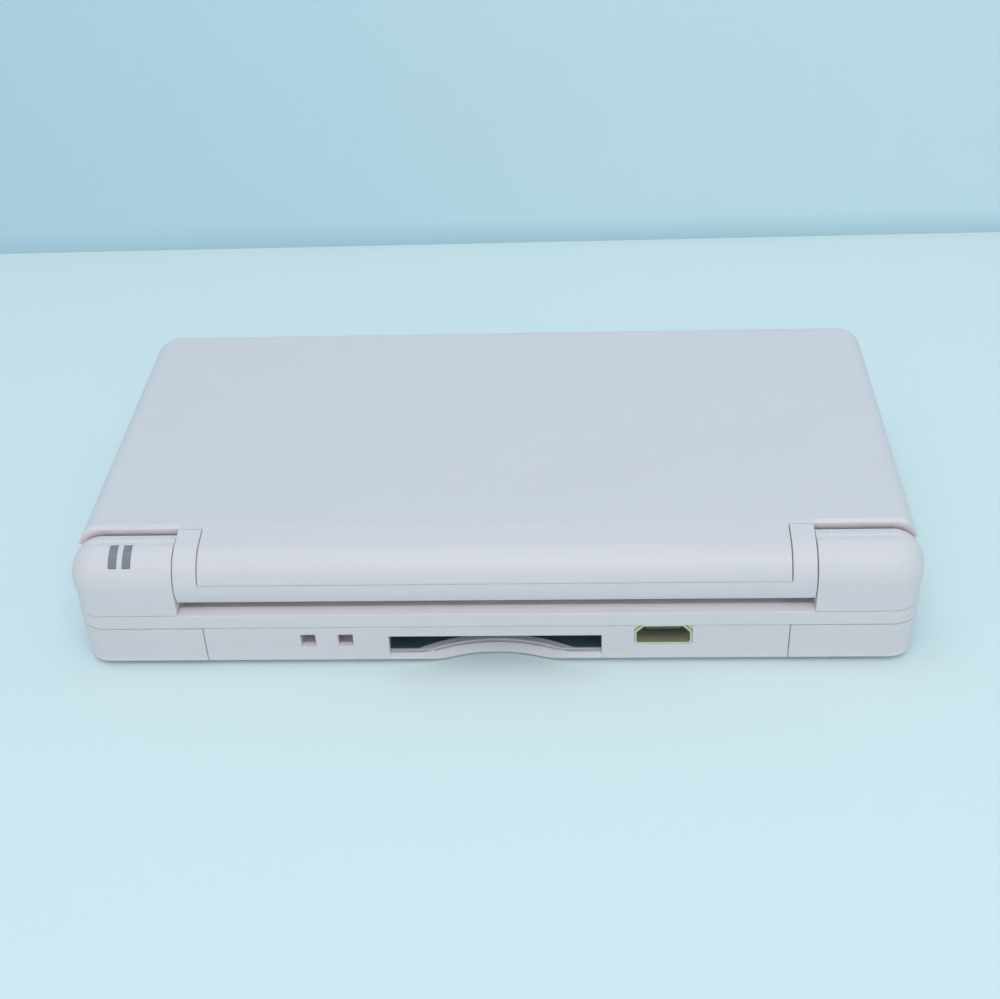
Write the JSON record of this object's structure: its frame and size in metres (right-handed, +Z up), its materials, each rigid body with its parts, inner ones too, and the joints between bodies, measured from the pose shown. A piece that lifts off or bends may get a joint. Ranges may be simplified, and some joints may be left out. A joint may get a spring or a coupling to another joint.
{
  "type": "handheld game console",
  "caption": "Clamshell handheld game console with two screens, a pad, face and shoulder buttons, sliders, a stylus, a slot cover and a lid on a barrel hinge between two ears.",
  "frame": {"origin": "middle of the closed console's outline, at the table under its feet", "axes": "+X to the player's right, +Y to the hinge at the back, +Z up; the lid is closed at rest"},
  "size_m": [0.133, 0.0738, 0.0215],
  "materials": {
    "shell": "satin moulded ABS",
    "inner_shell": "satin moulded ABS",
    "buttons": "satin moulded ABS",
    "grey_plastic": "fine matt",
    "dark_plastic": "fine matt",
    "smoke_plastic": "tinted, clear",
    "rubber": "matt",
    "silicone": "matt",
    "steel": "plated",
    "spring_steel": "drawn wire",
    "brass": "plated, dull",
    "screw_steel": "black oxide",
    "board": "solder mask over glass fibre",
    "screen_glass": "polished",
    "display": "dark panel, switched off",
    "battery_wrap": "shrink wrap",
    "copper_film": "polyimide film"
  },
  "bodies": {
    "base": {"base_bottom_shell": "shell", "base_top_shell": "inner_shell", "battery_cover": "shell", "battery_cover_screw": "screw_steel", "battery": "battery_wrap", "case_screws": "screw_steel", "rubber_feet": "rubber", "main_board": "board", "wireless_module": "board", "lower_display": "display", "lower_display_frame": "steel", "touch_panel": "screen_glass", "card_tray": "dark_plastic", "card_cage": "steel", "card_contacts": "brass", "cartridge_connector": "dark_plastic", "charge_port_shell": "brass", "charge_port_tongue": "dark_plastic", "headphone_jack": "dark_plastic", "volume_potentiometer": "dark_plastic", "power_switch": "dark_plastic", "stylus_holder": "grey_plastic", "light_pipes": "smoke_plastic", "led_board": "board", "status_leds": "smoke_plastic", "pad_membrane": "silicone", "button_membrane": "silicone", "menu_membrane": "silicone", "shoulder_pins": "steel", "shoulder_springs": "spring_steel", "shoulder_switches": "dark_plastic", "hinge_shaft": "steel", "hinge_bush": "grey_plastic"},
    "lid": {"lid_outer_shell": "shell", "lid_inner_shell": "inner_shell", "lid_bumpers": "rubber", "lid_screws": "screw_steel", "upper_window": "screen_glass", "upper_display": "display", "upper_display_frame": "steel", "speaker_right": "dark_plastic", "speaker_left": "dark_plastic", "microphone": "steel", "display_cable": "copper_film", "hinge_cartridge": "grey_plastic", "hinge_spring": "spring_steel"},
    "shoulder_button_right": {"shoulder_button_right": "shell"},
    "shoulder_button_left": {"shoulder_button_left": "shell"},
    "direction_pad_pivot": {"direction_pad_pivot": "grey_plastic"},
    "direction_pad": {"direction_pad": "buttons"},
    "button_right": {"button_right": "buttons"},
    "button_upper": {"button_upper": "buttons"},
    "button_left": {"button_left": "buttons"},
    "button_lower": {"button_lower": "buttons"},
    "start_button": {"start_button": "buttons"},
    "select_button": {"select_button": "buttons"},
    "power_slider": {"power_slider": "buttons"},
    "volume_slider": {"volume_slider": "buttons"},
    "stylus": {"stylus": "grey_plastic"},
    "cartridge_slot_cover": {"cartridge_slot_cover": "shell"}
  },
  "joints": [
    {"name": "lid_hinge", "type": "hinge", "parent": "base", "child": "lid", "pos_m": [0, 0.0314, 0.0154], "axis": [-1, 0, 0], "range_deg": [0, 150]},
    {"name": "shoulder_right_press", "type": "hinge", "parent": "base", "child": "shoulder_button_right", "pos_m": [0.0436, 0.0333, 0.005], "axis": [0, 0, -1], "range_deg": [0, 2.4], "stiffness_Nm_per_rad": 0.15},
    {"name": "shoulder_left_press", "type": "hinge", "parent": "base", "child": "shoulder_button_left", "pos_m": [-0.0436, 0.0333, 0.005], "axis": [0, 0, 1], "range_deg": [0, 2.4], "stiffness_Nm_per_rad": 0.15},
    {"name": "pad_tilt_up_down", "type": "hinge", "parent": "base", "child": "direction_pad_pivot", "pos_m": [-0.0495, 0.006, 0.0088], "axis": [1, 0, 0], "range_deg": [-2.2, 2.2], "stiffness_Nm_per_rad": 0.05},
    {"name": "pad_tilt_left_right", "type": "hinge", "parent": "direction_pad_pivot", "child": "direction_pad", "pos_m": [-0.0495, 0.006, 0.0088], "axis": [0, 1, 0], "range_deg": [-2.2, 2.2], "stiffness_Nm_per_rad": 0.05},
    {"name": "button_right_press", "type": "slide", "parent": "base", "child": "button_right", "axis": [0, 0, -1], "range_m": [0, 0.0006], "stiffness_N_per_m": 600},
    {"name": "button_upper_press", "type": "slide", "parent": "base", "child": "button_upper", "axis": [0, 0, -1], "range_m": [0, 0.0006], "stiffness_N_per_m": 600},
    {"name": "button_left_press", "type": "slide", "parent": "base", "child": "button_left", "axis": [0, 0, -1], "range_m": [0, 0.0006], "stiffness_N_per_m": 600},
    {"name": "button_lower_press", "type": "slide", "parent": "base", "child": "button_lower", "axis": [0, 0, -1], "range_m": [0, 0.0006], "stiffness_N_per_m": 600},
    {"name": "start_button_press", "type": "slide", "parent": "base", "child": "start_button", "axis": [0, 0, -1], "range_m": [0, 0.00045], "stiffness_N_per_m": 600},
    {"name": "select_button_press", "type": "slide", "parent": "base", "child": "select_button", "axis": [0, 0, -1], "range_m": [0, 0.00045], "stiffness_N_per_m": 600},
    {"name": "power_slide", "type": "slide", "parent": "base", "child": "power_slider", "axis": [0, 1, 0], "range_m": [0, 0.002], "stiffness_N_per_m": 150},
    {"name": "volume_slide", "type": "slide", "parent": "base", "child": "volume_slider", "axis": [1, 0, 0], "range_m": [-0.003, 0.003]},
    {"name": "stylus_slide", "type": "slide", "parent": "base", "child": "stylus", "axis": [1, 0, 0], "range_m": [0, 0.088]},
    {"name": "slot_cover_slide", "type": "slide", "parent": "base", "child": "cartridge_slot_cover", "axis": [0, -1, 0], "range_m": [0, 0.0235]}
  ]
}
